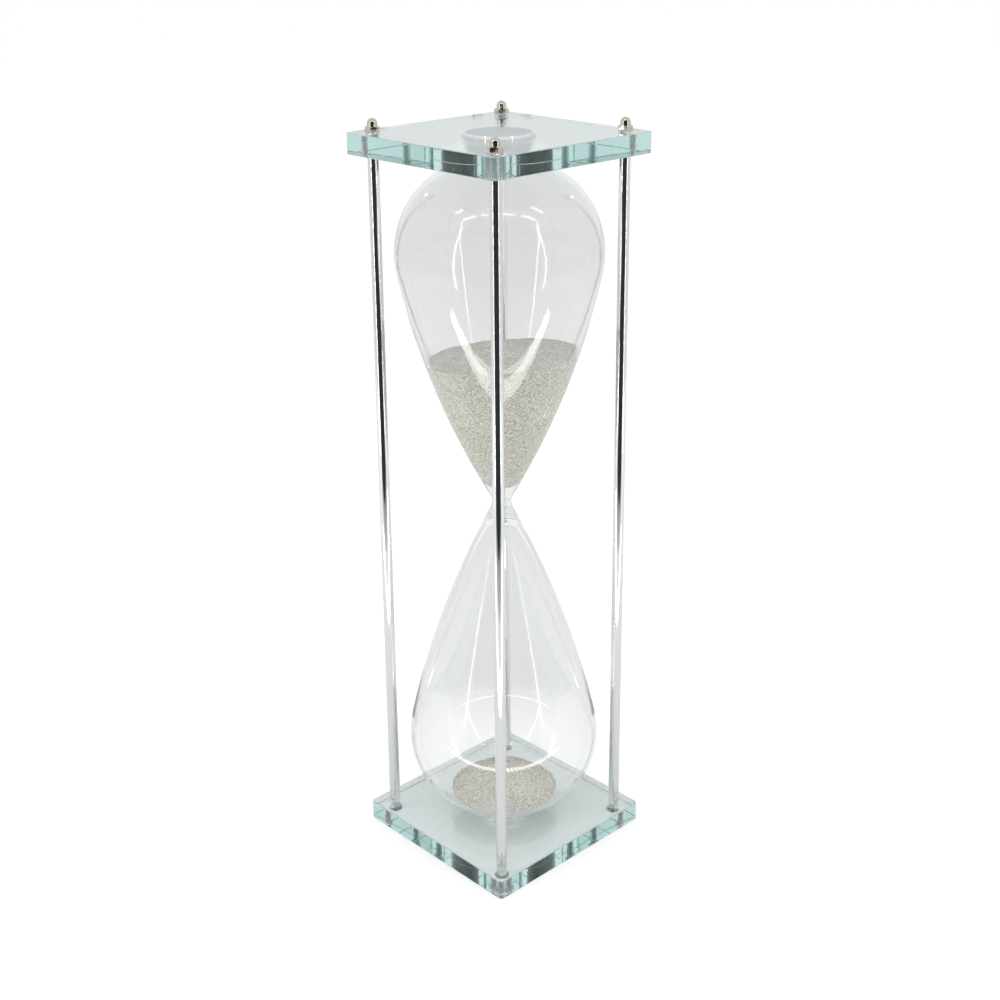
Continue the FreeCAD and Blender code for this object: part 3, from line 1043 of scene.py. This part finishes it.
# ---- studio ----
class HOURGLASS_OT_studio(bpy.types.Operator):
    """Set up the pale floor, the white tent, the soft lamps and the camera"""
    bl_idname = "hourglass.studio"
    bl_label = "Studio"

    def execute(self, context):
        scene = context.scene
        scene.view_settings.view_transform = "Standard"
        cycles = scene.cycles
        cycles.max_bounces = cycles.transmission_bounces = cycles.glossy_bounces = BOUNCES
        self.surround(scene)
        self.floor()
        self.dark_front()
        self.strips()
        self.lamps()
        self.camera(scene)
        return {"FINISHED"}

    def surround(self, scene):
        """White to the eye, paper white in mirrors and glass, a plain level of light elsewhere."""
        world = bpy.data.worlds.new("tent")
        scene.world = world
        world.use_nodes = True
        tree = world.node_tree
        tree.nodes.clear()
        ray = add(tree, "LightPath").outputs
        white = add(tree, "Background", {"Color": (1, 1, 1, 1)})
        # the tent shows a tenth brighter through glass than in mirrors
        level = add(tree, "Math", {
            0: ray["Is Transmission Ray"], 1: 0.1, 2: 1.0,
        }, operation="MULTIPLY_ADD")
        paper = add(tree, "Background", {
            "Color": rgba(settings("studio").paper), "Strength": level,
        })
        plain = add(tree, "Background", {"Color": (1, 1, 1, 1), "Strength": 0.7})
        mirrored = add(tree, "Math", {
            0: ray["Is Glossy Ray"], 1: ray["Is Transmission Ray"],
        }, operation="MAXIMUM")
        seen = add(tree, "MixShader", {
            0: mirrored, 1: plain, 2: paper,
        })
        whole = add(tree, "MixShader", {
            0: ray["Is Camera Ray"], 1: seen, 2: white,
        })
        add(tree, "OutputWorld", {"Surface": whole})

    def sheet(self, name, size, spot, material):
        """A flat piece of the studio."""
        bpy.ops.object.select_all(action="DESELECT")
        bpy.ops.mesh.primitive_plane_add(size=size, location=spot)
        sheet = bpy.context.object
        sheet.name = name
        sheet.data.materials.append(material)
        return sheet

    def floor(self):
        """A wide sheet of white paper that keeps the object's shadow and fades into the white tent."""
        material, tree = blank("matt_white_paper")
        paper = add(tree, "BsdfDiffuse", {"Color": rgba(settings("studio").paper)})
        place = add(tree, "Mapping", {"Vector": here(tree), "Scale": (0.9, 0.9, 0.9)})
        spread = add(tree, "TexGradient", {"Vector": place}, gradient_type="SPHERICAL")
        ray = add(tree, "LightPath").outputs
        whole = paper
        # glow at the outer reach, round the object and beneath it
        for kind, far, near, under in (
            ("Is Glossy Ray", 0.22, 0.05, 0.02),
            ("Is Transmission Ray", 0.1, 0.0, 0.24),
            ("Is Camera Ray", 0.5, 0.36, 0.34),
        ):
            level = add(tree, "ValToRGB", {"Fac": spread})
            ramp = level.color_ramp
            ramp.elements[0].color = (far, far, far, 1)
            ramp.elements[1].color = (under, under, under, 1)
            ramp.elements[1].position = 0.93
            ramp.elements.new(0.85).color = (near, near, near, 1)
            glow = add(tree, "Emission", {"Color": level})
            lit = add(tree, "AddShader", {0: paper, 1: glow})
            whole = add(tree, "MixShader", {0: ray[kind], 1: whole, 2: lit})
        self.sheet("paper_floor", 8.0, (0, 0, -AIR), surfaced(material, whole))

    def stand(self, right, towards, height):
        """A spot given as seen from the camera: to the right, towards it and up."""
        turn = Matrix.Rotation(settings("studio").aside, 3, "Z")
        return turn @ Vector((right, -towards, height))

    def card(self, name, width, height, spot, material, upright=True, through_glass=False):
        """A card that only mirrors show, and glass when it is to be seen through it."""
        card = self.sheet(name, 1.0, self.stand(*spot), material)
        card.scale = (width, height, 1)
        card.rotation_euler = (math.radians(90) if upright else 0, 0, settings("studio").aside)
        card.visible_camera = card.visible_diffuse = card.visible_shadow = False
        card.visible_transmission = through_glass

    def glowing(self, name, paint):
        """A card's finish, which shows at one level whatever light falls on it."""
        material, tree = blank(name)
        colour, strength = paint(tree)
        return surfaced(material, add(tree, "Emission", {"Color": colour, "Strength": strength}))

    def room_shade(self, tree):
        """Painted shade of the dark room: a fixed dark glow, about a twenty-fifth of white."""
        return rgba(settings("studio").room_shade), 1.0

    def table(self, tree):
        """A table with painted shade: darker towards the dark room in front."""
        values = settings("studio")
        place = add(tree, "SeparateXYZ", {"Vector": here(tree)})
        share = add(tree, "Math", {0: place.outputs["Y"], 1: 0.5}, operation="ADD")
        # painted shade: the ramp runs from the dark room's colour to the table's
        shade = add(tree, "ValToRGB", {"Fac": share})
        ramp = shade.color_ramp
        ramp.elements[0].color = rgba(values.room_shade)
        ramp.elements[0].position = 0.75
        ramp.elements[1].color = rgba(values.table)
        return shade, 1.0

    def beads(self, tree):
        """Small separate lamps behind a thin diffuser: bright beads on a bright line."""
        cells = add(tree, "TexVoronoi", {"Vector": here(tree), "Scale": 50.0, "Randomness": 0.0})
        return (1, 1, 1, 1), stretch(tree, cells.outputs["Distance"], 0.15, 0.5, 16.0, 2.0)

    def dark_front(self):
        """Painted shade: the dark room beyond the tent's open front, and the table that darkens towards
        it.
        """
        self.card("dark_room", 0.88, 1.6, (0, 0.478, 0.8), self.glowing("painted_room_shade", self.room_shade))
        self.card("dark_table", 0.88, 1.2, (0, 0.94, 0.002),
                  self.glowing("table_painted_shade", self.table), upright=False)

    def strips(self):
        """The lamp tapes round the tent's open front, which show as thin lines in the glass."""
        tape = self.glowing("lamp_tape", self.beads)
        for name, width, height, spot, upright in (
            ("left_tape", 0.035, 0.75, (-0.443, 0.40, 0.42), True),
            ("right_tape", 0.025, 0.75, (0.443, 0.40, 0.42), True),
            ("floor_tape", 0.8, 0.045, (0, 0.22, 0.004), False),
            ("head_tape", 0.8, 0.05, (0, 0.3, 0.85), True),
        ):
            self.card(name, width, height, spot, tape, upright, through_glass=True)

    def lamp(self, name, size, power, spot):
        """A soft box that lights the object and shows in nothing."""
        light = bpy.data.lights.new(name, "AREA")
        light.shape = "RECTANGLE"
        light.size, light.size_y = size
        light.energy = power
        lamp = bpy.data.objects.new(name, light)
        bpy.context.scene.collection.objects.link(lamp)
        place = self.stand(*spot)
        lamp.location = place
        lamp.rotation_euler = (Vector((0, 0, WAIST_Z)) - place).to_track_quat("-Z", "Y").to_euler()
        lamp.visible_camera = lamp.visible_glossy = lamp.visible_transmission = False

    def lamps(self):
        """Two soft boxes and an overhead one."""
        self.lamp("left_box", (0.7, 0.9), 3.6, (-0.9, 0.35, 0.6))
        self.lamp("right_box", (0.7, 0.9), 3.1, (0.9, 0.35, 0.6))
        self.lamp("top_box", (0.9, 0.9), 2.2, (0, 0.1, 1.3))

    def camera(self, scene):
        values = settings("studio")
        data = bpy.data.cameras.new("camera")
        data.lens = values.lens
        data.sensor_width = 36
        data.shift_y = values.rise
        data.clip_start = 0.01
        data.clip_end = 50
        camera = bpy.data.objects.new("camera", data)
        scene.collection.objects.link(camera)
        camera.location = self.stand(0, values.away, values.above)
        turn = (
            Matrix.Rotation(values.heading, 3, "Z")
            @ Matrix.Rotation(math.radians(90) - values.tilt, 3, "X")
            @ Matrix.Rotation(values.roll, 3, "Z")
        )
        camera.rotation_euler = turn.to_euler()
        scene.camera = camera


# ---- add-on ----
OPERATORS = (
    HOURGLASS_OT_plates,
    HOURGLASS_OT_rods,
    HOURGLASS_OT_acorn_nuts,
    HOURGLASS_OT_plate_screws,
    HOURGLASS_OT_bulb,
    HOURGLASS_OT_stoppers,
    HOURGLASS_OT_sand,
    HOURGLASS_OT_studio,
)


class VIEW3D_PT_hourglass(bpy.types.Panel):
    """The hourglass's pieces, in the order of their making"""
    bl_label = "Hourglass"
    bl_space_type = "VIEW_3D"
    bl_region_type = "UI"
    bl_category = "Hourglass"

    def draw(self, context):
        for operator in OPERATORS:
            self.layout.operator(operator.bl_idname)


CLASSES = tuple(GROUPS.values()) + OPERATORS + (VIEW3D_PT_hourglass,)


def register():
    for cls in CLASSES:
        bpy.utils.register_class(cls)
    for group, cls in GROUPS.items():
        setattr(bpy.types.Scene, "hourglass_" + group, PointerProperty(type=cls))


def unregister():
    for group in GROUPS:
        delattr(bpy.types.Scene, "hourglass_" + group)
    for cls in reversed(CLASSES):
        bpy.utils.unregister_class(cls)


def main():
    register()
    for operator in OPERATORS:
        family, action = operator.bl_idname.split(".")
        getattr(getattr(bpy.ops, family), action)()


if __name__ == "__main__":
    main()
